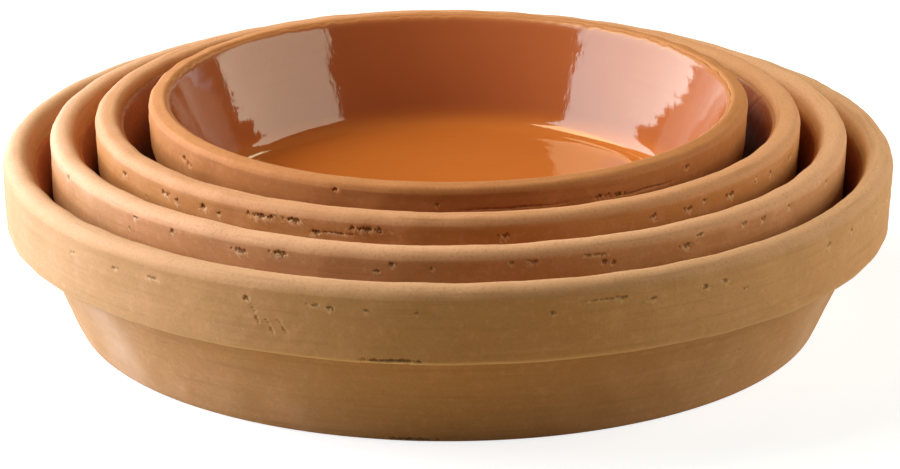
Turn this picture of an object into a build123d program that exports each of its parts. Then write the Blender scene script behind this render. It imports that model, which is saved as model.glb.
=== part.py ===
from build123d import *

import os
from dataclasses import dataclass
from math import cos, radians, tan

# A nest of four round terracotta plant saucers, each standing on the glazed floor of the next larger one.
# Each is one fired clay body, bare outside and on the rim, with a glaze coat fused to its inside.
# Millimetres, +Z up, origin at the centre of the largest saucer's underside.

# The largest saucer's own sizes; its rim radius sets the width of the ones that stand in it
largest_rim_radius = 140.0
large_height = 56.4
large_band_height = 24.0
large_band_overhang = 7.9  # of the band's lower edge past the wall
large_lip_drop = 3.8  # from the rim's top to the lip's outer edge
large_lip_inner_round = 3.5  # between the lip's top and the inner wall
large_wall = 8.2
large_glaze_margin = 5.5  # bare clay between the rim's top and the glaze's edge

# The second saucer's own sizes; its clearance is from the band's lower edge to the glaze around it
medium_height = 53.0
medium_band_height = 21.8
medium_band_overhang = 6.2
medium_lip_drop = 3.0
medium_lip_inner_round = 3.5
medium_wall = 8.6
medium_glaze_margin = 5.0
medium_nest_clearance = 1.2

# The third saucer's own sizes
small_height = 48.5
small_band_height = 19.2
small_band_overhang = 5.5
small_lip_drop = 2.7
small_lip_inner_round = 2.6
small_wall = 8.2
small_glaze_margin = 2.5
small_nest_clearance = 1.7

# The smallest saucer's own sizes
mini_height = 43.8
mini_band_height = 16.9
mini_band_overhang = 4.7
mini_lip_drop = 2.7
mini_lip_inner_round = 1.6
mini_rim_fall = 0.9  # of the rim's top from its inner edge to its outer one; the other rims are level
mini_wall = 6.6
mini_glaze_margin = 0.8
mini_nest_clearance = 4.5

# Sizes that all four share, since they are made to one pattern
wall_lean = 24.0  # degrees from upright
floor_thickness = 9.0
floor_cove = 7.0  # radius between the inner wall and the floor
band_taper = 0.8  # how far the band widens from its lower edge to the rim
band_edge_round = 1.8
band_root_round = 2.0  # in the corner between the wall and the band's underside
base_edge_round = 2.5
foot_ring_width = 16.0
foot_recess = 1.2  # hollow under the floor, inside the foot ring
foot_round = 0.8
lip_slope = 70.0  # degrees below level, of the lip's side above its outer edge
lip_edge_round = 1.5
lip_outer_share = 1.05  # of the height of the lip's side, as the radius between the side and the top
glaze_thickness = 0.5
glaze_bond = 0.1  # between the glaze and the clay's leaning wall, while it lies on the clay's floor
glaze_taper = 0.6  # length over which the glaze thins out to nothing at its edge

lean = tan(radians(wall_lean))


def across(thickness):
    """The level width of a layer that has this thickness square to the leaning wall."""
    return thickness / cos(radians(wall_lean))


@dataclass
class Saucer:
    """One saucer's own sizes. Heights are above its underside, except seat, its place in the nest."""

    name: str
    height: float
    band_height: float
    band_overhang: float
    lip_drop: float
    lip_inner_round: float
    wall: float
    glaze_margin: float
    rim_fall: float = 0.0
    rim_radius: float = largest_rim_radius
    seat: float = 0.0

    @property
    def step_height(self):
        return self.height - self.band_height

    @property
    def lip_rise(self):
        return self.lip_drop - self.rim_fall

    @property
    def lip_inset(self):
        return self.lip_rise / tan(radians(lip_slope))

    @property
    def band_radius(self):
        return self.rim_radius - band_taper

    @property
    def step_radius(self):
        return self.band_radius - self.band_overhang

    @property
    def base_radius(self):
        return self.step_radius - lean * self.step_height

    def inner_radius(self, height):
        return self.base_radius + lean * height - across(self.wall)

    def glazed_radius(self, height):
        return self.inner_radius(height) - across(glaze_thickness)

    def stand_in(self, outer, nest_clearance):
        """Seats this saucer on the outer one's floor, as wide as the clearance leaves room for."""
        self.seat = outer.seat + floor_thickness + glaze_thickness
        room = outer.glazed_radius(self.seat - outer.seat + self.step_height)
        self.rim_radius = room - nest_clearance + band_taper


large = Saucer(
    "large_saucer",
    large_height,
    large_band_height,
    large_band_overhang,
    large_lip_drop,
    large_lip_inner_round,
    large_wall,
    large_glaze_margin,
)
medium = Saucer(
    "medium_saucer",
    medium_height,
    medium_band_height,
    medium_band_overhang,
    medium_lip_drop,
    medium_lip_inner_round,
    medium_wall,
    medium_glaze_margin,
)
small = Saucer(
    "small_saucer",
    small_height,
    small_band_height,
    small_band_overhang,
    small_lip_drop,
    small_lip_inner_round,
    small_wall,
    small_glaze_margin,
)
mini = Saucer(
    "mini_saucer",
    mini_height,
    mini_band_height,
    mini_band_overhang,
    mini_lip_drop,
    mini_lip_inner_round,
    mini_wall,
    mini_glaze_margin,
    mini_rim_fall,
)

medium.stand_in(large, medium_nest_clearance)
small.stand_in(medium, small_nest_clearance)
mini.stand_in(small, mini_nest_clearance)


def clay_corners(saucer):
    """Corners of the clay's half section, as (radius, height, rounding)."""
    foot_inner = saucer.base_radius - foot_ring_width
    rim_inner = saucer.inner_radius(saucer.height)
    return [
        (0, foot_recess, 0),
        (foot_inner - foot_recess, foot_recess, foot_round),
        (foot_inner, 0, foot_round),
        (saucer.base_radius, 0, base_edge_round),
        (saucer.step_radius, saucer.step_height, band_root_round),
        (saucer.band_radius, saucer.step_height, band_edge_round),
        (saucer.rim_radius, saucer.height - saucer.lip_drop, lip_edge_round),
        (saucer.rim_radius - saucer.lip_inset, saucer.height - saucer.rim_fall, lip_outer_share * saucer.lip_rise),
        (rim_inner, saucer.height, saucer.lip_inner_round),
        (saucer.inner_radius(floor_thickness), floor_thickness, floor_cove),
        (0, floor_thickness, 0),
    ]


def glaze_corners(saucer):
    """Corners of the glaze coat's half section, as (radius, height, rounding)."""
    edge_height = saucer.height - saucer.glaze_margin
    full_height = edge_height - glaze_taper
    floor_top = floor_thickness + glaze_thickness
    bond = across(glaze_bond)
    return [
        (saucer.inner_radius(edge_height) - bond, edge_height, 0),
        (saucer.glazed_radius(full_height), full_height, 0),
        (saucer.glazed_radius(floor_top), floor_top, floor_cove - glaze_thickness),
        (0, floor_top, 0),
        (0, floor_thickness, 0),
        (saucer.inner_radius(floor_thickness) - bond, floor_thickness, floor_cove),
    ]


def make_piece(label, corners, seat):
    """Turns a half section about the nest's axis, set down at its seat, and writes the solid."""
    points = [(radius, seat + height) for radius, height, _ in corners]
    roundings = [rounding for _, _, rounding in corners]
    with BuildPart() as piece:
        with BuildSketch(Plane.XZ):
            with BuildLine():
                FilletPolyline(points, radius=roundings, close=True)
            make_face()
        revolve(axis=Axis.Z)
    piece.part.label = label
    export_step(piece.part, f"parts/{label}.step")


os.makedirs("parts", exist_ok=True)
for saucer in (large, medium, small, mini):
    make_piece(f"{saucer.name}_clay", clay_corners(saucer), saucer.seat)
    make_piece(f"{saucer.name}_glaze", glaze_corners(saucer), saucer.seat)
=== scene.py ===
from dataclasses import dataclass
from math import acos, ceil, cos, degrees, pi, radians, sin, sqrt, tan

import bmesh
import bpy
import numpy as np
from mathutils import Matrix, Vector


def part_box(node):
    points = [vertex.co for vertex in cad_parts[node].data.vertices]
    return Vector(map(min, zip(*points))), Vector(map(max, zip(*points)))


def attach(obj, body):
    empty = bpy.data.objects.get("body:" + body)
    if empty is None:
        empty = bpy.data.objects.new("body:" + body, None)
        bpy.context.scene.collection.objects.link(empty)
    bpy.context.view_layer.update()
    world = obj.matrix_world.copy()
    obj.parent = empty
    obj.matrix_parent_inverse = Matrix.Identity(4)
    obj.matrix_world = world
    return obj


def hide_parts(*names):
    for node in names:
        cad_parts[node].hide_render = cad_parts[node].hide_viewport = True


# A nest of four round terracotta plant saucers, bare clay outside and amber glaze inside.
# Lengths are in metres, +Z is up, and angles go round the nest from the front, -Y, towards +X.
# The course of a point is its distance along the half section that the saucer is turned from.

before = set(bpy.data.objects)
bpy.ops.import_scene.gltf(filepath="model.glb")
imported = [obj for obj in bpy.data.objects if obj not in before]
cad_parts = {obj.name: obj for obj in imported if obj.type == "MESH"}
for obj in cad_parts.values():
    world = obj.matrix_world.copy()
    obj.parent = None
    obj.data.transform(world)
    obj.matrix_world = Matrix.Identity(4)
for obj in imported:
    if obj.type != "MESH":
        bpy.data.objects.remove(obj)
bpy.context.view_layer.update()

mm = 0.001

# Sizes that the saucers share with their solids
wall_lean = radians(24)
floor_thickness = 9.0 * mm
floor_cove = 7.0 * mm
band_taper = 0.8 * mm
band_edge_round = 1.8 * mm
band_root_round = 2.0 * mm
base_edge_round = 2.5 * mm
foot_ring_width = 16.0 * mm
foot_recess = 1.2 * mm
foot_round = 0.8 * mm
lip_slope = radians(70)
lip_edge_round = 1.5 * mm
lip_outer_share = 1.05
glaze_thickness = 0.5 * mm
glaze_bond = 0.1 * mm
glaze_taper = 0.6 * mm

# How finely the surfaces are meshed
columns = 580
fine_row = 1.0 * mm
wall_row = 1.4 * mm
hidden_row = 6.0 * mm
samples_per_row = 8
mark_cuts = 3  # extra cuts across each face that a mark touches
seam_gap = 3  # degrees each side of the back that are kept free of marks
bare_depth = 10.0 * mm  # of the inner wall that is meshed finely, below the rim's top
edge_seat = 3.0 * mm  # below the glaze's edge, over which its back sinks into the clay

lean = tan(wall_lean)

# Two waves that put a saucer out of round, then two that put it out of level: millimetres, waves per turn
wobble_waves = [(0.22, 2), (0.14, 3), (0.16, 2), (0.10, 5)]


def across(thickness):
    """The level width of a layer that has this thickness square to the leaning wall."""
    return thickness / cos(wall_lean)


def smooth_step(low, high, value):
    share = np.clip((value - low) / (high - low), 0, 1)
    return share * share * (3 - 2 * share)


@dataclass
class Saucer:
    """One saucer: its own sizes, its clay's tones, and the torn spots that the photograph shows.

    A spot is (angle in degrees, then drop below the rim's top, length and height in millimetres).
    """

    name: str
    seed: int
    height: float
    band_height: float
    band_overhang: float
    lip_drop: float
    lip_inner_round: float
    wall: float
    glaze_margin: float
    glaze_dryness: float
    tone: tuple
    warm_tone: tuple
    pale_tone: tuple
    # How far the rim is painted paler: pale rubbed clay and painted light on its up-facing top.
    rim_paleness_and_light: float
    spot_drop: float
    # How strongly shade and dirt are painted inside the spots, and their lips painted pale.
    spot_dark: float
    spots: list
    rim_fall: float = 0.0

    def __post_init__(self):
        low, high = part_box(f"{self.name}_clay")
        self.seat = low.z
        self.rim_radius = high.x
        self.step_height = self.height - self.band_height
        self.lip_rise = self.lip_drop - self.rim_fall
        self.lip_inset = self.lip_rise / tan(lip_slope)
        self.band_radius = self.rim_radius - band_taper
        self.step_radius = self.band_radius - self.band_overhang
        self.base_radius = self.step_radius - lean * self.step_height
        self.phases = np.random.default_rng(self.seed).uniform(0, 2 * pi, 4)

    def inner_radius(self, height):
        return self.base_radius + lean * height - across(self.wall)

    def glazed_radius(self, height):
        return self.inner_radius(height) - across(glaze_thickness)

    def wobble(self, angle, height):
        """How far the saucer is out of round and out of level, which grows from its floor to its rim."""
        true_share = 0.3  # of the height, which is round and level
        rise = np.clip((height - self.seat) / self.height - true_share, 0, 1) / (1 - true_share)
        waves = [
            size * mm * np.cos(turns * angle + phase)
            for (size, turns), phase in zip(wobble_waves, self.phases)
        ]
        return (waves[0] + waves[1]) * rise, (waves[2] + waves[3]) * rise ** 2


saucers = [
    Saucer(
        name="large_saucer",
        seed=11,
        height=56.4 * mm,
        band_height=24.0 * mm,
        band_overhang=7.9 * mm,
        lip_drop=3.8 * mm,
        lip_inner_round=3.5 * mm,
        wall=8.2 * mm,
        glaze_margin=5.5 * mm,
        glaze_dryness=1.0,
        tone=(0.552, 0.320, 0.156),
        warm_tone=(0.54, 0.295, 0.137),
        pale_tone=(0.72, 0.41, 0.245),
        rim_paleness_and_light=0.6,
        spot_drop=7.0,
        spot_dark=0.5,
        spots=[
            (-53, 8.3, 1.5, 0.6), (-44.5, 7.8, 2.5, 0.6), (-38, 7.0, 4.0, 0.6), (-24.5, 7.0, 2.2, 1.0),
            (-16, 6.8, 2.2, 0.6), (-14, 7.2, 2.0, 0.8), (-9.7, 7.2, 1.0, 0.5), (-3.8, 7.5, 1.0, 0.5),
            (12.5, 8.3, 1.2, 1.0), (18.8, 5.7, 11.0, 0.4), (21, 5.8, 2.0, 0.8), (25, 7.5, 2.0, 0.8),
            (32.5, 7.0, 2.0, 1.0), (35.4, 6.6, 1.8, 0.8), (38.5, 10.6, 1.0, 0.5), (54.6, 7.2, 1.5, 0.8),
            (60.4, 6.6, 1.2, 1.4), (69, 7.7, 1.0, 1.4),
        ],
    ),
    Saucer(
        name="medium_saucer",
        seed=22,
        height=53.0 * mm,
        band_height=21.8 * mm,
        band_overhang=6.2 * mm,
        lip_drop=3.0 * mm,
        lip_inner_round=3.5 * mm,
        wall=8.6 * mm,
        glaze_margin=5.0 * mm,
        glaze_dryness=1.0,
        tone=(0.585, 0.30, 0.135),
        warm_tone=(0.575, 0.265, 0.108),
        pale_tone=(0.77, 0.435, 0.265),
        rim_paleness_and_light=0.75,
        spot_drop=4.3,
        spot_dark=0.65,
        spots=[
            (-68, 3.2, 1.5, 1.2), (-48, 3.8, 1.5, 0.7), (-49.5, 7.8, 0.8, 0.8), (-40.6, 4.1, 0.9, 0.9),
            (-29, 5.1, 3.5, 1.2), (-23, 3.8, 4.0, 1.2), (-9.6, 6.6, 1.6, 0.6), (-7.3, 4.3, 1.6, 1.0),
            (-2, 5.1, 0.8, 0.8), (8.3, 4.1, 1.0, 1.0), (11.4, 4.0, 2.4, 0.8), (20, 3.7, 5.0, 0.6),
            (21.3, 6.2, 1.2, 1.0), (22.6, 6.7, 1.0, 1.0), (34, 5.7, 3.0, 1.2), (36.3, 3.3, 2.0, 0.5),
            (44.6, 3.8, 2.0, 0.8), (48.7, 4.4, 1.6, 1.0), (55, 4.0, 1.8, 0.8), (67.6, 4.1, 1.0, 2.0),
        ],
    ),
    Saucer(
        name="small_saucer",
        seed=33,
        height=48.5 * mm,
        band_height=19.2 * mm,
        band_overhang=5.5 * mm,
        lip_drop=2.7 * mm,
        lip_inner_round=2.6 * mm,
        wall=8.2 * mm,
        glaze_margin=2.5 * mm,
        glaze_dryness=0.3,
        tone=(0.57, 0.265, 0.092),
        warm_tone=(0.54, 0.232, 0.07),
        pale_tone=(0.71, 0.37, 0.215),
        rim_paleness_and_light=0.65,
        spot_drop=5.2,
        spot_dark=0.8,
        spots=[
            (-62.6, 5.5, 2.0, 1.0), (-50, 5.0, 3.0, 1.0), (-47.2, 5.9, 1.6, 1.2), (-41, 5.2, 2.6, 1.4),
            (-38, 6.1, 1.0, 0.8), (-29.8, 4.0, 7.0, 1.2), (-24.2, 3.6, 4.5, 1.4), (-20.6, 6.6, 2.5, 0.9),
            (-17, 6.3, 8.0, 0.5), (-12.5, 4.2, 7.0, 1.3), (8.5, 5.7, 2.2, 2.2), (33.3, 5.3, 1.6, 2.2),
            (40.2, 5.8, 2.2, 1.4), (43.7, 4.7, 1.4, 0.6), (50, 5.8, 3.0, 1.0), (57.3, 4.1, 1.0, 2.0),
            (62.4, 5.3, 1.2, 1.0),
        ],
    ),
    Saucer(
        name="mini_saucer",
        seed=44,
        height=43.8 * mm,
        band_height=16.9 * mm,
        band_overhang=4.7 * mm,
        lip_drop=2.7 * mm,
        lip_inner_round=1.6 * mm,
        rim_fall=0.9 * mm,
        wall=6.6 * mm,
        glaze_margin=0.8 * mm,
        glaze_dryness=0.0,
        tone=(0.51, 0.21, 0.068),
        warm_tone=(0.47, 0.18, 0.053),
        pale_tone=(0.63, 0.275, 0.12),
        rim_paleness_and_light=0.3,
        spot_drop=6.4,
        spot_dark=0.7,
        spots=[
            (-58.7, 6.1, 2.4, 1.0), (-56.4, 7.2, 2.0, 1.0), (-20.5, 3.0, 2.0, 0.7), (-2, 5.9, 0.9, 0.8),
            (29, 7.1, 5.0, 0.8), (33, 7.6, 3.0, 0.9), (50, 5.2, 2.0, 0.8),
        ],
    ),
]


# Half sections


class Outline:
    """A half section from the axis back to the axis, sampled finely, with the course at each sample.

    Its corners are (radius, height, rounding, length of a mesh row up to and round the corner).
    """

    def __init__(self, corners, seat):
        points = [np.array(corners[0][:2])]
        places = [np.array(corner[:2]) for corner in corners]
        for index, (_, _, rounding, row) in enumerate(corners):
            if index == 0:
                continue
            if rounding == 0:
                self.extend(points, [places[index]], row)
                continue
            self.extend(points, self.arc(*places[index - 1:index + 2], rounding, row), row)
        self.points = np.array(points) + (0, seat)
        steps = np.linalg.norm(np.diff(self.points, axis=0), axis=1)
        self.course = np.concatenate(([0], np.cumsum(steps)))
        self.rows = self.course[::samples_per_row]
        along = np.gradient(self.points, self.course, axis=0)
        along /= np.linalg.norm(along, axis=1)[:, None]
        self.normals = np.stack((along[:, 1], -along[:, 0]), axis=1)

    @staticmethod
    def extend(points, places, row):
        """Goes on to each place in turn, with samples for the mesh rows in between."""
        for place in places:
            start = points[-1]
            rows = max(1, round(np.linalg.norm(place - start) / row))
            count = rows * samples_per_row
            points.extend(start + (place - start) * step / count for step in range(1, count + 1))

    @staticmethod
    def arc(before, corner, after, rounding, row):
        """The start of the corner's arc and the places of the mesh rows round it."""
        to_before = (before - corner) / np.linalg.norm(before - corner)
        to_after = (after - corner) / np.linalg.norm(after - corner)
        half = acos(np.clip(to_before @ to_after, -1, 1)) / 2
        middle = to_before + to_after
        centre = corner + middle / np.linalg.norm(middle) * rounding / sin(half)
        start = corner + to_before * rounding / tan(half) - centre
        sweep = pi - 2 * half
        turn = np.sign(to_after[0] * to_before[1] - to_after[1] * to_before[0])
        rows = max(4, ceil(rounding * sweep / row))
        places = []
        for step in range(rows + 1):
            angle = turn * sweep * step / rows
            across_turn = start[0] * cos(angle) - start[1] * sin(angle)
            up_turn = start[0] * sin(angle) + start[1] * cos(angle)
            places.append(centre + (across_turn, up_turn))
        return places

    def at(self, course):
        """Radius, height, and the normal's two parts, at these courses."""
        values = (*self.points.T, *self.normals.T)
        return [np.interp(course, self.course, value) for value in values]

    def outer_course(self, height):
        """The course where the outside is this high."""
        top = np.argmax(self.points[:, 1])
        start = np.argmin(self.points[:top, 1])
        return np.interp(height, self.points[start:top, 1], self.course[start:top])

    def inner_course(self, height):
        """The course where the inside is this high."""
        top = np.argmax(self.points[:, 1])
        return np.interp(-height, -self.points[top:, 1], self.course[top:])


def clay_outline(saucer):
    foot_inner = saucer.base_radius - foot_ring_width
    rim_inner = saucer.inner_radius(saucer.height)
    rim_outer = saucer.rim_radius - saucer.lip_inset
    bare_end = saucer.height - bare_depth
    corners = [
        (0, foot_recess, 0, hidden_row),
        (foot_inner - foot_recess, foot_recess, foot_round, hidden_row),
        (foot_inner, 0, foot_round, hidden_row),
        (saucer.base_radius, 0, base_edge_round, wall_row),
        (saucer.step_radius, saucer.step_height, band_root_round, wall_row),
        (saucer.band_radius, saucer.step_height, band_edge_round, fine_row),
        (saucer.rim_radius, saucer.height - saucer.lip_drop, lip_edge_round, fine_row),
        (rim_outer, saucer.height - saucer.rim_fall, lip_outer_share * saucer.lip_rise, fine_row),
        (rim_inner, saucer.height, saucer.lip_inner_round, fine_row),
        (saucer.inner_radius(bare_end), bare_end, 0, fine_row),
        (saucer.inner_radius(floor_thickness), floor_thickness, floor_cove, hidden_row),
        (0, floor_thickness, 0, hidden_row),
    ]
    return Outline(corners, saucer.seat)


def glaze_outline(saucer):
    edge_height = saucer.height - saucer.glaze_margin
    full_height = edge_height - glaze_taper
    floor_top = floor_thickness + glaze_thickness
    bond = across(glaze_bond)
    corners = [
        (0, floor_thickness, 0, hidden_row),
        (saucer.inner_radius(floor_thickness) - bond, floor_thickness, floor_cove, hidden_row),
        (saucer.inner_radius(edge_height - edge_seat) - bond, edge_height - edge_seat, 0, hidden_row),
        (saucer.inner_radius(edge_height) + bond, edge_height, 0, fine_row),
        (saucer.glazed_radius(full_height), full_height, 0, fine_row / 3),
        (saucer.glazed_radius(floor_top), floor_top, floor_cove - glaze_thickness, fine_row),
        (0, floor_top, 0, wall_row),
    ]
    return Outline(corners, saucer.seat)


# Seeded unevenness


def wave_field(rng, count, around, along):
    """A smooth uneven field over angle and course, a sum of waves with a spread of about one.

    around is the least and most waves per turn, along the least and most wavelength on the course.
    """
    turns = rng.integers(around[0], around[1] + 1, count)
    rates = 2 * pi / rng.uniform(*along, count) * rng.choice((-1, 1), count)
    phases = rng.uniform(0, 2 * pi, count)

    def field(angle, course):
        total = np.zeros_like(angle)
        for turn, rate, phase in zip(turns, rates, phases):
            total += np.cos(turn * angle + rate * course + phase)
        return total * sqrt(2 / count)

    return field


def plane_field(rng, count, lengths):
    """A smooth uneven field over the level plane, a sum of waves with a spread of about one."""
    headings = rng.uniform(0, 2 * pi, count)
    rates = 2 * pi / rng.uniform(*lengths, count)
    phases = rng.uniform(0, 2 * pi, count)

    def field(angle, radius):
        total = np.zeros_like(angle)
        for heading, rate, phase in zip(headings, rates, phases):
            total += np.cos(rate * radius * np.cos(angle - heading) + phase)
        return total * sqrt(2 / count)

    return field


# Waves that tear a mark's edge: the length of each, and how much it runs up the course as well as along
tear_waves = [(4.3 * mm, 0.3), (2.7 * mm, -0.5), (1.6 * mm, 0.8), (0.9 * mm, -0.3)]


@dataclass
class Mark:
    """A torn or pressed spot: its place, size, depth and slant, how strongly shade with some dirt is painted
    inside it and its lip painted pale, and how ragged it is.

    One that bends wanders up and down by that much along its length.
    """

    angle: float
    course: float
    length: float
    height: float
    depth: float
    slant: float = 0.0
    dark: float = 1.0
    ragged: float = 1.0
    bend: float = 0.0
    phase: float = 0.0

    def apply(self, angle, course, radius, lift, shade, chip):
        """Sinks the surface, paints shade with some dirt inside the mark, and paints the torn lip just below
        it pale, as chipped clay and a painted highlight.
        """
        reach = self.length + 3 * mm
        near = np.flatnonzero(
            (np.abs(angle - self.angle) * radius < reach) & (np.abs(course - self.course) < reach)
        )
        side = (angle[near] - self.angle) * radius[near]
        rise = course[near] - self.course
        along = side * cos(self.slant) + rise * sin(self.slant)
        up = rise * cos(self.slant) - side * sin(self.slant)
        up -= self.bend * np.sin(along / (2.1 * mm) + self.phase)
        tear = np.zeros_like(along)
        for count, (wave, course_share) in enumerate(tear_waves):
            tear += 0.3 * np.sin(2 * pi * (along + course_share * up) / wave + (count + 1) * self.phase)
        side_spread = along / (self.length / 2)
        hole = smooth_step(1.1, 0.3, np.hypot(side_spread, up / (self.height / 2)) + self.ragged * tear)
        lip_spread = np.hypot(side_spread, (up + 0.9 * self.height) / (0.7 * self.height))
        lip = smooth_step(1.1, 0.4, lip_spread - self.ragged * tear) * (1 - hole)
        lift[near] += 0.2 * self.depth * lip - self.depth * hole
        # Painted shade with some dirt inside the hole, and a pale lip below it: chipped clay and a painted
        # highlight.
        shade[near] = np.maximum(shade[near], hole * self.dark)
        chip[near] = np.maximum(chip[near], lip * self.dark)


spot_growth = 1.25  # of the spots as listed, since their torn edges take some away
tallest_spot = 1.2  # millimetres


def band_marks(saucer, outline):
    """The spots that the photograph shows, smaller ones beside them, and like ones all round the back."""
    rng = np.random.default_rng(saucer.seed + 1)
    top = saucer.seat + saucer.height
    spots = [
        (angle, drop, spot_growth * length, min(spot_growth * height, tallest_spot))
        for angle, drop, length, height in saucer.spots
    ]
    for angle, drop, length, height in saucer.spots:
        for _ in range(rng.integers(1, 4)):
            aside = rng.uniform(-0.7, 0.7) * length * mm / saucer.rim_radius
            below = rng.uniform(-0.6, 0.8) * height
            small_length = rng.uniform(0.6, 1.6)
            small_height = rng.uniform(0.4, 0.6)
            spots.append((angle + degrees(aside), drop + below, small_length, small_height))
    for _ in range(22):
        angle = rng.uniform(72, 180 - seam_gap) * rng.choice((-1, 1))
        drop = saucer.spot_drop + rng.normal(0, 0.9)
        spots.append((angle, drop, rng.uniform(0.8, 4.0), rng.uniform(0.5, 1.3)))
    for _ in range(5):
        angle = rng.uniform(seam_gap - 180, 180 - seam_gap)
        drop = rng.uniform(2, 0.9 * saucer.height / mm)
        spots.append((angle, drop, rng.uniform(0.5, 1.0), rng.uniform(0.4, 0.8)))
    return [
        Mark(
            angle=radians(angle),
            course=outline.outer_course(top - drop * mm),
            length=length * mm,
            height=height * mm,
            depth=0.35 * height * mm,
            dark=saucer.spot_dark,
            phase=rng.uniform(0, 2 * pi),
        )
        for angle, drop, length, height in spots
    ]


def large_saucer_marks(saucer, outline):
    """What only the largest saucer shows: smears, a gash and a smudge at the band's lower edge, a scuff."""
    smear_course = outline.outer_course(saucer.seat + saucer.height - 15.2 * mm)
    gash_course = outline.outer_course(saucer.seat + saucer.step_height + 1.5 * mm)
    smudge_course = outline.outer_course(saucer.seat + saucer.step_height - 2.0 * mm)
    scuff_course = outline.outer_course(saucer.seat + 1.2 * mm)
    smears = [
        Mark(radians(angle), smear_course + shift * mm, 5 * mm, 0.7 * mm, 0.25 * mm, radians(slant), 0.2)
        for angle, shift, slant in ((-21.6, 0, 115), (-20.0, 0.6, 125), (-23.4, 3.0, 110))
    ]
    # The gash is a real groove under the band's edge; the dark inside it is painted shade.
    gash = Mark(
        radians(-6.5), gash_course, 20 * mm, 1.4 * mm, 0.5 * mm, dark=0.85, ragged=0.5, bend=0.12 * mm
    )
    smudge = Mark(radians(-30), smudge_course, 6 * mm, 0.9 * mm, 0.1 * mm, dark=0.3, ragged=0.4)
    scuff = Mark(radians(-5.2), scuff_course, 18 * mm, 1.6 * mm, 0.2 * mm, dark=0.8, ragged=0.5)
    return [*smears, gash, smudge, scuff]


def mini_saucer_marks(saucer, outline):
    """What only the smallest saucer shows: a long fine crack round its band, in two lengths."""
    top = saucer.seat + saucer.height
    return [
        Mark(
            angle=radians(angle),
            course=outline.outer_course(top - drop * mm),
            length=length * mm,
            height=0.7 * mm,
            depth=0.3 * mm,
            dark=0.6,
            ragged=0.25,
            bend=0.15 * mm,
            phase=angle,
        )
        for angle, drop, length in ((12, 7.5, 40), (38, 8.1, 34))
    ]


own_marks = {"large_saucer": large_saucer_marks, "mini_saucer": mini_saucer_marks}


# Meshes


def make_sheet(outline, marks):
    """The flat sheet of angle and course that a surface is rolled from, cut finer where there are marks."""
    angles = np.linspace(-pi, pi, columns + 1)
    rows = outline.rows
    row_middles = (rows[1:] + rows[:-1]) / 2
    angle_middles = (angles[1:] + angles[:-1]) / 2
    radii = outline.at(row_middles)[0]
    cut = np.zeros((len(row_middles), columns), bool)
    for mark in marks:
        wide = abs(cos(mark.slant)) * mark.length + abs(sin(mark.slant)) * mark.height
        tall = abs(sin(mark.slant)) * mark.length + abs(cos(mark.slant)) * mark.height
        in_rows = np.abs(row_middles - mark.course) < tall * 0.7 + 0.8 * mm
        in_columns = np.abs(angle_middles - mark.angle)[None, :] * radii[:, None] < wide * 0.7 + 0.8 * mm
        cut |= in_rows[:, None] & in_columns
    row_index, column_index = np.mgrid[0:len(rows) - 1, 0:columns]
    first = row_index * (columns + 1) + column_index
    faces = np.stack((first, first + 1, first + columns + 2, first + columns + 1), axis=-1).reshape(-1, 4)
    places = np.zeros((len(rows) * (columns + 1), 3))
    places[:, 0] = np.tile(angles, len(rows))
    places[:, 1] = np.repeat(rows, columns + 1)
    mesh = bpy.data.meshes.new("sheet")
    mesh.from_pydata(places.tolist(), [], faces.tolist())
    sheet = bmesh.new()
    sheet.from_mesh(mesh)
    sheet.faces.ensure_lookup_table()
    edges = {edge for index in np.flatnonzero(cut) for edge in sheet.faces[index].edges}
    if edges:
        bmesh.ops.subdivide_edges(sheet, edges=list(edges), cuts=mark_cuts, use_grid_fill=True)
    sheet.to_mesh(mesh)
    sheet.free()
    flat = np.zeros(len(mesh.vertices) * 3)
    mesh.vertices.foreach_get("co", flat)
    return mesh, flat.reshape(-1, 3)[:, 0], flat.reshape(-1, 3)[:, 1]


def roll_up(name, mesh, angle, radius, height, facts):
    """Rolls the sheet round the axis, stores the named facts on it, and closes the seam and the poles."""
    places = np.stack((radius * np.sin(angle), -radius * np.cos(angle), height), axis=1)
    mesh.vertices.foreach_set("co", places.ravel())
    for label, values in facts.items():
        mesh.attributes.new(label, "FLOAT", "POINT").data.foreach_set("value", values)
    solid = bmesh.new()
    solid.from_mesh(mesh)
    bmesh.ops.remove_doubles(solid, verts=solid.verts, dist=1e-6)
    bmesh.ops.recalc_face_normals(solid, faces=solid.faces)
    solid.to_mesh(mesh)
    solid.free()
    mesh.shade_smooth()
    mesh.name = name
    piece = bpy.data.objects.new(name, mesh)
    bpy.context.scene.collection.objects.link(piece)
    return piece


def bloom_share(angle, height, saucer):
    """Where lime has come out of the clay as a pale haze: upright patches low on the largest saucer."""
    rise = (height - saucer.seat) / saucer.step_height
    low = smooth_step(1.05, 0.55, rise)
    left = np.exp(-((angle - radians(-55)) / radians(4.5)) ** 2)
    middle = 0.3 * np.exp(-((angle - radians(-21)) / radians(2)) ** 2) * smooth_step(0.5, 0.2, rise)
    right = 0.5 * np.exp(-((angle - radians(66)) / radians(7)) ** 2)
    return (left + middle + right) * low


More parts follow.
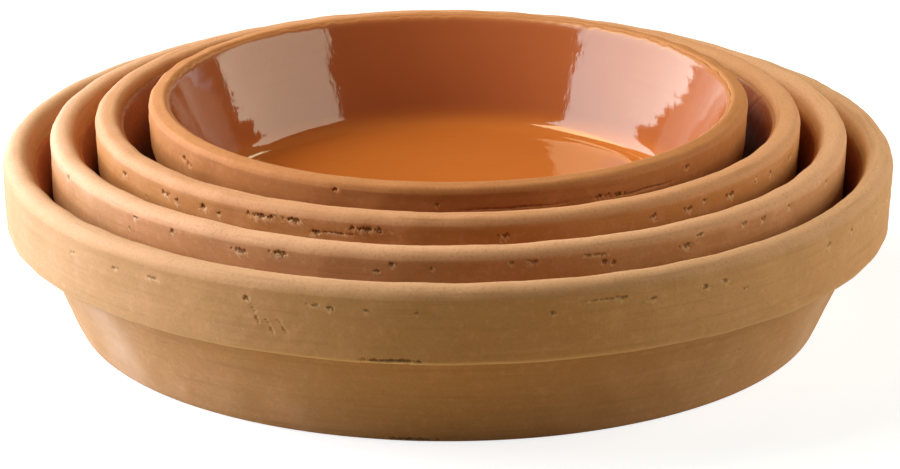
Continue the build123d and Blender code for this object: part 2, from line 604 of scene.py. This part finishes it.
def make_clay(saucer):
    outline = clay_outline(saucer)
    marks = band_marks(saucer, outline)
    if saucer.name in own_marks:
        marks += own_marks[saucer.name](saucer, outline)
    mesh, angle, course = make_sheet(outline, marks)
    radius, height, outward, upward = outline.at(course)
    rng = np.random.default_rng(saucer.seed + 2)
    lumps = wave_field(rng, 36, (3, 45), (18 * mm, 70 * mm))
    rings = wave_field(rng, 16, (0, 3), (2.5 * mm, 9 * mm))
    dents = wave_field(rng, 40, (50, 170), (5 * mm, 16 * mm))
    bare_start = outline.outer_course(saucer.seat + 2 * mm)
    bare_end = outline.inner_course(saucer.seat + saucer.height - saucer.glaze_margin)
    bare = smooth_step(bare_start, bare_start + 4 * mm, course)
    bare = bare * smooth_step(bare_end, bare_end - 3 * mm, course)
    lift = bare * mm * (
        0.09 * lumps(angle, course) + 0.022 * rings(angle, course) + 0.018 * dents(angle, course)
    )
    # The two facts below hold painted shade with dirt inside the marks, and the pale lips under them, partly
    # painted highlight.
    shade = np.zeros_like(lift)
    chip = np.zeros_like(lift)
    for mark in marks:
        mark.apply(angle, course, radius, lift, shade, chip)
    # The top 5 mm is painted paler: pale rubbed clay and painted light where the rim faces the lamps above.
    rim = smooth_step(saucer.height - 5 * mm, saucer.height - 0.5 * mm, height - saucer.seat)
    # Painted highlight: a thin line along the band's lower edge is painted pale where it catches light from
    # the floor, with some rubbed wear.
    edge_wear_and_highlight_course = outline.outer_course(saucer.seat + saucer.step_height + 0.5 * mm)
    worn = np.exp(-((course - edge_wear_and_highlight_course) / (0.8 * mm)) ** 2)
    bloom = bloom_share(angle, height, saucer) if saucer.name == "large_saucer" else np.zeros_like(lift)
    wide, tall = saucer.wobble(angle, height)
    on_axis = radius < 1e-9
    new_radius = np.where(on_axis, 0, radius + lift * outward + wide)
    new_height = height + lift * upward + tall
    facts = {"course": course, "mark": shade, "chip": chip, "rim": rim, "worn": worn, "bloom": bloom}
    return roll_up(f"{saucer.name}_clay_body", mesh, angle, new_radius, new_height, facts)


def make_glaze(saucer):
    outline = glaze_outline(saucer)
    mesh, angle, course = make_sheet(outline, [])
    radius, height, outward, upward = outline.at(course)
    rng = np.random.default_rng(saucer.seed + 3)
    rings = wave_field(rng, 24, (0, 14), (3 * mm, 6.5 * mm))
    swells = wave_field(rng, 30, (4, 40), (12 * mm, 40 * mm))
    dimples = wave_field(rng, 40, (60, 160), (3.5 * mm, 9 * mm))
    creep = wave_field(rng, 30, (6, 110), (1.0, 2.0))
    pools = plane_field(rng, 30, (14 * mm, 50 * mm))
    rise = height - saucer.seat - floor_thickness
    wall = smooth_step(0.5 * mm, 8 * mm, rise)
    edge_course = outline.course[np.argmax(outline.points[:, 1])]
    top_side = smooth_step(edge_course + 0.5 * mm, edge_course + 4 * mm, course)
    on_wall = 0.020 * swells(angle, course) + 0.005 * dimples(angle, course)
    on_floor = 0.015 * pools(angle, radius)
    ringed = 0.008 * smooth_step(4 * mm, 30 * mm, radius) * rings(angle, course)
    lift = top_side * mm * (wall * on_wall + (1 - wall) * on_floor + ringed)
    edge_share = np.exp(-((course - edge_course) / (3.5 * mm)) ** 2)
    slide = 0.12 * mm * creep(angle, course * 0) * edge_share
    wide, tall = saucer.wobble(angle, height)
    on_axis = radius < 1e-9
    new_radius = np.where(on_axis, 0, radius + lift * outward + wide + slide * sin(wall_lean))
    new_height = height + lift * upward + tall + slide * cos(wall_lean)
    thin = np.exp(-((course - edge_course) / (1.6 * mm)) ** 2)
    dry = saucer.glaze_dryness * smooth_step(6 * mm, 18 * mm, rise)
    facts = {"course": course, "thin": thin, "wall": wall, "dry": dry}
    return roll_up(f"{saucer.name}_glaze_coat", mesh, angle, new_radius, new_height, facts)


# Materials


class Shader:
    """A material under construction, with short ways to add its nodes."""

    def __init__(self, name):
        self.material = bpy.data.materials.new(name)
        self.material.use_nodes = True
        self.tree = self.material.node_tree
        self.surface = self.tree.nodes["Principled BSDF"]
        self.place = self.node("ShaderNodeTexCoord").outputs["Object"]

    def node(self, kind, inputs=None, **settings):
        made = self.tree.nodes.new(kind)
        for key, value in settings.items():
            setattr(made, key, value)
        for key, value in (inputs or {}).items():
            self.plug(made.inputs[key], value)
        return made

    def plug(self, socket, value):
        if isinstance(value, bpy.types.NodeSocket):
            self.tree.links.new(value, socket)
        elif socket.type == "RGBA" and len(value) == 3:
            socket.default_value = (*value, 1)
        else:
            socket.default_value = value

    def fact(self, label):
        return self.node("ShaderNodeAttribute", attribute_name=label).outputs["Fac"]

    def courses(self, around, along):
        """Coordinates that are stretched along the courses, with features of these two lengths."""
        split = self.node("ShaderNodeSeparateXYZ", {"Vector": self.place})
        return self.node("ShaderNodeCombineXYZ", {
            "X": self.math("MULTIPLY", split.outputs["X"], 1 / around),
            "Y": self.math("MULTIPLY", split.outputs["Y"], 1 / around),
            "Z": self.math("MULTIPLY", self.fact("course"), 1 / along),
        }).outputs["Vector"]

    def noise(self, vector, scale, detail=2.0, roughness=0.5):
        inputs = {"Vector": vector, "Scale": scale, "Detail": detail, "Roughness": roughness}
        return self.node("ShaderNodeTexNoise", inputs).outputs["Fac"]

    def math(self, operation, first, second):
        return self.node("ShaderNodeMath", {0: first, 1: second}, operation=operation).outputs[0]

    def spread(self, value, low, high, start=0.0, end=1.0):
        inputs = {"Value": value, "From Min": low, "From Max": high, "To Min": start, "To Max": end}
        return self.node("ShaderNodeMapRange", inputs, interpolation_type="SMOOTHSTEP").outputs["Result"]

    def blend(self, share, first, second, how="MIX"):
        inputs = {"Factor": share, 6: first, 7: second}
        return self.node("ShaderNodeMix", inputs, data_type="RGBA", blend_type=how).outputs[2]

    def bump(self, height, strength, distance, onto=None):
        inputs = {"Height": height, "Strength": strength, "Distance": distance}
        if onto:
            inputs["Normal"] = onto
        return self.node("ShaderNodeBump", inputs).outputs["Normal"]


def clay_material(saucer):
    """Fired clay: mottled, streaked along the courses, grainy, painted paler on the rim as pale clay and
    painted light, with a painted highlight and rubbed wear along the band's lower edge, and painted shade
    and dirt in the torn spots.
    """
    shader = Shader(f"{saucer.name}_terracotta")
    place = shader.place
    clouds = shader.noise(place, 22, detail=3)
    patches = shader.noise(place, 75, detail=3)
    mottle = shader.noise(place, 380, detail=3)
    streaks = shader.noise(shader.courses(40 * mm, 1.8 * mm), 1.0, detail=4)
    grain = shader.noise(place, 1300, detail=2)
    tone = shader.blend(shader.spread(clouds, 0.38, 0.66), saucer.tone, saucer.warm_tone)
    tone = shader.blend(shader.spread(patches, 0.5, 0.75, 0.0, 0.3), tone, saucer.pale_tone)
    tone = shader.blend(shader.spread(mottle, 0.5, 0.75, 0.0, 0.3), tone, saucer.pale_tone)
    # Painted light and pale clay: the rim is blended towards the pale tone.
    rim_share = shader.spread(shader.fact("rim"), 0, 1, 0, saucer.rim_paleness_and_light)
    tone = shader.blend(rim_share, tone, saucer.pale_tone)
    dark_streak = tuple(0.8 * part for part in saucer.warm_tone)
    tone = shader.blend(shader.spread(streaks, 0.54, 0.72, 0.0, 0.38), tone, dark_streak)
    tone = shader.blend(shader.spread(streaks, 0.28, 0.46, 0.2, 0.0), tone, saucer.pale_tone)
    dark_grain = tuple(0.72 * part for part in saucer.tone)
    tone = shader.blend(shader.spread(grain, 0.5, 0.72, 0.0, 0.36), tone, dark_grain)
    # A paler tone for painted highlights with rubbed wear, on the band's lower edge and on the torn lips.
    edge_wear_and_highlight_tone = tuple(min(1.4 * part, 0.8) for part in saucer.pale_tone)
    tone = shader.blend(shader.math("MULTIPLY", shader.fact("worn"), 0.7), tone, edge_wear_and_highlight_tone)
    lime = (0.72, 0.51, 0.36)
    lime_share = shader.math("MULTIPLY", shader.fact("bloom"), shader.spread(patches, 0.3, 0.6, 0.4, 0.9))
    tone = shader.blend(lime_share, tone, lime)
    # The lip below each spot is painted pale: chipped clay and a painted highlight.
    tone = shader.blend(shader.math("MULTIPLY", shader.fact("chip"), 0.7), tone, edge_wear_and_highlight_tone)
    # Painted shade with some dirt: the inside of each spot is painted dark brown.
    pit_shade_and_dirt = tuple(0.25 * part for part in saucer.warm_tone)
    tone = shader.blend(shader.fact("mark"), tone, pit_shade_and_dirt)
    shader.plug(shader.surface.inputs["Base Color"], tone)
    shader.plug(shader.surface.inputs["Roughness"], shader.spread(patches, 0.3, 0.7, 0.78, 0.92))
    shader.plug(shader.surface.inputs["Specular IOR Level"], 0.3)
    rough = shader.bump(grain, 0.35, 0.10 * mm)
    lines = shader.bump(streaks, 0.30, 0.12 * mm, rough)
    shader.plug(shader.surface.inputs["Normal"], lines)
    return shader.material


def glaze_material():
    """Amber glaze on clay: glossy, a little uneven, thin at its edge, dry and streaky where it ran short,
    and painted lighter on the floor as painted light.
    """
    shader = Shader("amber_glaze")
    place = shader.place
    clouds = shader.noise(place, 16, detail=2)
    streaks = shader.noise(shader.courses(45 * mm, 2.6 * mm), 1.0, detail=3)
    runs = shader.noise(shader.courses(1.4 * mm, 30 * mm), 1.0, detail=3)
    peel = shader.noise(place, 550, detail=2)
    # Painted light: the glaze on the up-facing floor is painted lighter than the same glaze on the walls.
    lit_floor_amber = (0.61, 0.178, 0.033)
    amber = (0.42, 0.118, 0.036)
    deep_amber = (0.39, 0.10, 0.030)
    thin_amber = (0.54, 0.21, 0.07)
    tone = shader.blend(shader.spread(clouds, 0.35, 0.65, 0.0, 0.7), amber, deep_amber)
    tone = shader.blend(shader.spread(streaks, 0.55, 0.75, 0.0, 0.3), tone, deep_amber)
    tone = shader.blend(shader.fact("wall"), lit_floor_amber, tone)
    tone = shader.blend(shader.fact("thin"), tone, thin_amber)
    shader.plug(shader.surface.inputs["Base Color"], tone)
    gloss = shader.spread(streaks, 0.3, 0.7, 0.04, 0.07)
    dryness = shader.fact("dry")
    dullness = shader.math("MULTIPLY", shader.math("MULTIPLY", dryness, dryness), 0.5)
    edge_dullness = shader.math("MULTIPLY", shader.fact("thin"), 0.35)
    dullness = shader.math("ADD", dullness, edge_dullness)
    shader.plug(shader.surface.inputs["Roughness"], shader.math("ADD", gloss, dullness))
    shader.plug(shader.surface.inputs["IOR"], 1.6)
    ripples = shader.bump(streaks, 0.08, 0.10 * mm)
    ripples = shader.bump(peel, 0.20, 0.10 * mm, ripples)
    run_strength = shader.math("MULTIPLY", shader.fact("wall"), shader.spread(dryness, 0, 0.3, 0.05, 1.0))
    ripples = shader.bump(runs, run_strength, 0.6 * mm, ripples)
    shader.plug(shader.surface.inputs["Normal"], ripples)
    return shader.material


# Assembly

glaze = glaze_material()
for saucer in saucers:
    clay_body = make_clay(saucer)
    clay_body.data.materials.append(clay_material(saucer))
    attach(clay_body, saucer.name)
    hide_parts(f"{saucer.name}_clay")
    glaze_coat = make_glaze(saucer)
    glaze_coat.data.materials.append(glaze)
    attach(glaze_coat, saucer.name)
    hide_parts(f"{saucer.name}_glaze")


# Floor and light


def shown_share(tree):
    """One for rays from the camera and for mirrored or refracted ones, else nought."""
    path = tree.nodes.new("ShaderNodeLightPath")
    total = path.outputs["Is Camera Ray"]
    for label in ("Is Glossy Ray", "Is Transmission Ray"):
        larger = tree.nodes.new("ShaderNodeMath")
        larger.operation = "MAXIMUM"
        tree.links.new(total, larger.inputs[0])
        tree.links.new(path.outputs[label], larger.inputs[1])
        total = larger.outputs[0]
    return total


def make_floor():
    """A pale floor that keeps the nest's shadow and is white further off. It throws back warm light."""
    size = 8.0
    bpy.ops.mesh.primitive_plane_add(size=size)
    floor = bpy.context.object
    floor.name = "floor"
    material = bpy.data.materials.new("pale_floor")
    material.use_nodes = True
    tree = material.node_tree
    tree.nodes.clear()
    place = tree.nodes.new("ShaderNodeTexCoord")
    reach = tree.nodes.new("ShaderNodeVectorMath")
    reach.operation = "LENGTH"
    glow = tree.nodes.new("ShaderNodeMapRange")
    for key, value in (("From Min", 0.3), ("From Max", 0.9), ("To Min", 0.8), ("To Max", 1.0)):
        glow.inputs[key].default_value = value
    white = tree.nodes.new("ShaderNodeEmission")
    tree.links.new(place.outputs["Object"], reach.inputs[0])
    tree.links.new(reach.outputs["Value"], glow.inputs["Value"])
    tree.links.new(glow.outputs["Result"], white.inputs["Strength"])
    lit = tree.nodes.new("ShaderNodeBsdfDiffuse")
    lit.inputs["Color"].default_value = (0.42, 0.42, 0.42, 1)
    pale = tree.nodes.new("ShaderNodeAddShader")
    table = tree.nodes.new("ShaderNodeBsdfDiffuse")
    table.inputs["Color"].default_value = (0.60, 0.47, 0.25, 1)
    mixed = tree.nodes.new("ShaderNodeMixShader")
    output = tree.nodes.new("ShaderNodeOutputMaterial")
    tree.links.new(white.outputs[0], pale.inputs[0])
    tree.links.new(lit.outputs[0], pale.inputs[1])
    tree.links.new(shown_share(tree), mixed.inputs["Fac"])
    tree.links.new(table.outputs[0], mixed.inputs[1])
    tree.links.new(pale.outputs[0], mixed.inputs[2])
    tree.links.new(mixed.outputs[0], output.inputs["Surface"])
    material.cycles.emission_sampling = "NONE"
    floor.data.materials.append(material)


def make_world():
    """A white backdrop, mirrored in the glaze near the horizon below a dim studio, and a faint warm fill."""
    world = bpy.data.worlds.new("studio")
    bpy.context.scene.world = world
    world.use_nodes = True
    tree = world.node_tree
    tree.nodes.clear()
    place = tree.nodes.new("ShaderNodeTexCoord")
    split = tree.nodes.new("ShaderNodeSeparateXYZ")
    fade = tree.nodes.new("ShaderNodeMapRange")
    fade.interpolation_type = "SMOOTHSTEP"
    fade.inputs["From Min"].default_value = sin(radians(3))
    fade.inputs["From Max"].default_value = sin(radians(9))
    studio = tree.nodes.new("ShaderNodeMix")
    studio.data_type = "RGBA"
    studio.inputs[6].default_value = (1, 1, 1, 1)
    studio.inputs[7].default_value = (0.16, 0.11, 0.06, 1)
    tree.links.new(place.outputs["Generated"], split.inputs["Vector"])
    tree.links.new(split.outputs["Z"], fade.inputs["Value"])
    tree.links.new(fade.outputs["Result"], studio.inputs["Factor"])
    fill = tree.nodes.new("ShaderNodeBackground")
    fill.inputs["Color"].default_value = (0.03, 0.02, 0.01, 1)
    mirrored = tree.nodes.new("ShaderNodeBackground")
    tree.links.new(studio.outputs[2], mirrored.inputs["Color"])
    white = tree.nodes.new("ShaderNodeBackground")
    white.inputs["Color"].default_value = (1, 1, 1, 1)
    camera_ray = tree.nodes.new("ShaderNodeLightPath").outputs["Is Camera Ray"]
    shown = fill
    for share, background in ((shown_share(tree), mirrored), (camera_ray, white)):
        mixed = tree.nodes.new("ShaderNodeMixShader")
        tree.links.new(share, mixed.inputs["Fac"])
        tree.links.new(shown.outputs[0], mixed.inputs[1])
        tree.links.new(background.outputs[0], mixed.inputs[2])
        shown = mixed
    output = tree.nodes.new("ShaderNodeOutputWorld")
    tree.links.new(shown.outputs[0], output.inputs["Surface"])


def make_softbox(name, place, width, height, radiance, colour, mirrored=True):
    """A flat upright soft lamp that faces the nest. One that isn't mirrored doesn't show in the glaze."""
    lamp = bpy.data.lights.new(name, "AREA")
    lamp.shape = "RECTANGLE"
    lamp.size = width
    lamp.size_y = height
    lamp.energy = radiance * pi * width * height
    lamp.color = colour
    softbox = bpy.data.objects.new(name, lamp)
    softbox.location = place
    facing = Vector((-place[0], 0, 0)) if place[0] ** 2 > place[1] ** 2 else Vector((0, -place[1], 0))
    softbox.rotation_euler = facing.to_track_quat("-Z", "Y").to_euler()
    softbox.visible_camera = False
    softbox.visible_glossy = mirrored
    bpy.context.scene.collection.objects.link(softbox)


make_floor()
make_world()
make_softbox("left_softbox", (-0.84, 0.19, 0.66), 1.20, 0.90, 5.1, (0.80, 0.97, 0.97))
make_softbox("upper_left_softbox", (-0.84, 0.42, 1.555), 1.15, 0.89, 8.6, (1, 0.80, 0.48))
make_softbox("right_softbox", (0.90, -0.03, 0.50), 1.01, 0.50, 3.1, (1, 0.95, 0.72))
make_softbox("low_left_softbox", (-0.42, 0.10, 0.10), 0.46, 0.20, 7.6, (0.32, 0.52, 1), mirrored=False)
make_softbox("low_right_softbox", (0.50, 0.05, 0.10), 0.58, 0.20, 2.1, (0.98, 0.97, 0.95), mirrored=False)
make_softbox("left_strip_lamp", (-0.60, -0.10, 0.35), 0.20, 0.50, 7.2, (1, 0.70, 0.44), mirrored=False)
make_softbox("back_right_softbox", (0.78, 1.14, 1.03), 0.30, 0.40, 4.5, (1, 0.93, 0.55))


# Camera, as it stood for the photograph

camera_distance = 1.4
camera_elevation = radians(20)
camera_tilt = radians(70.95)
camera_turn = radians(-0.027)
camera_data = bpy.data.cameras.new("camera")
camera_data.lens = 175.1
camera_data.sensor_width = 36
camera = bpy.data.objects.new("camera", camera_data)
camera.location = (0, -camera_distance * cos(camera_elevation), camera_distance * sin(camera_elevation))
camera.rotation_euler = (camera_tilt, 0, camera_turn)
bpy.context.scene.collection.objects.link(camera)
bpy.context.scene.camera = camera
bpy.context.scene.view_settings.view_transform = "Standard"
